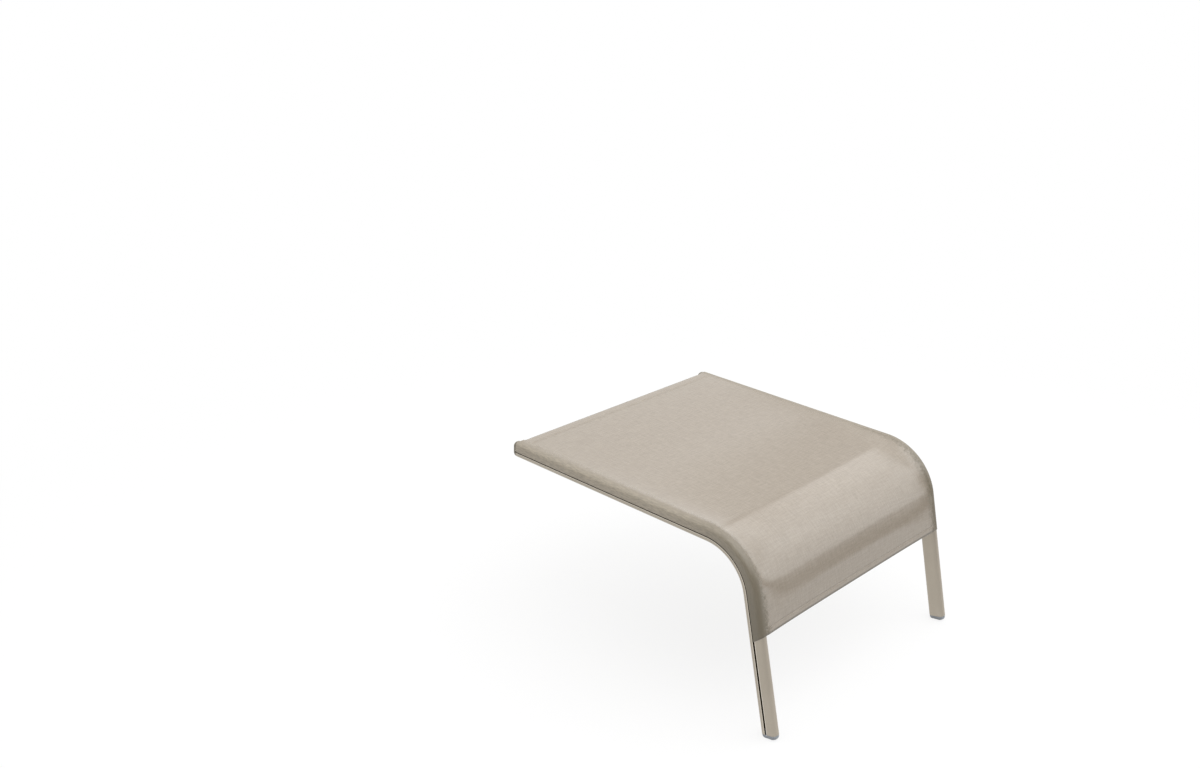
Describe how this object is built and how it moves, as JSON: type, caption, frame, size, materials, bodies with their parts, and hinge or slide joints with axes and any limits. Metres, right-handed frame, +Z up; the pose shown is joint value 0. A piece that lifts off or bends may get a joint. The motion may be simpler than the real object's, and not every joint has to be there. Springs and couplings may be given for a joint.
{
  "type": "hook-on footrest",
  "caption": "Garden lounge footrest: sling cloth stretched between bent side rails that form seat and front legs, with hooks behind for a chair's front rail.",
  "frame": {"origin": "on the floor, under the middle of the whole piece", "axes": "+X to the right seen from the leg end, -Y the leg end, +Y the side that hooks on the chair, +Z up"},
  "size_m": [0.55, 0.6459, 0.3561],
  "materials": {
    "coated_aluminium": "satin taupe powder coat",
    "sling_cloth": "woven coated mesh, taupe",
    "grey_nylon": "matte",
    "cap_plastic": "matte taupe",
    "rod_plastic": "matte",
    "zinc_steel": "satin"
  },
  "bodies": {
    "root": {"front_cross_tube": "coated_aluminium", "hook_cross_tube": "coated_aluminium", "rear_cross_tube": "coated_aluminium", "sling": "sling_cloth", "rear_hem_pocket": "sling_cloth", "left_side_rail": "coated_aluminium", "right_side_rail": "coated_aluminium", "left_foot_glide": "grey_nylon", "right_foot_glide": "grey_nylon", "left_rail_end_cap": "cap_plastic", "right_rail_end_cap": "cap_plastic", "left_keder_rod": "rod_plastic", "right_keder_rod": "rod_plastic", "left_rear_tube_plug": "zinc_steel", "right_rear_tube_plug": "zinc_steel", "left_rear_tube_bolt": "zinc_steel", "right_rear_tube_bolt": "zinc_steel", "left_chair_hook": "coated_aluminium", "right_chair_hook": "coated_aluminium", "left_hook_liner": "grey_nylon", "right_hook_liner": "grey_nylon", "left_hook_inner_screw": "zinc_steel", "right_hook_inner_screw": "zinc_steel", "left_hook_outer_screw": "zinc_steel", "right_hook_outer_screw": "zinc_steel"}
  },
  "joints": []
}
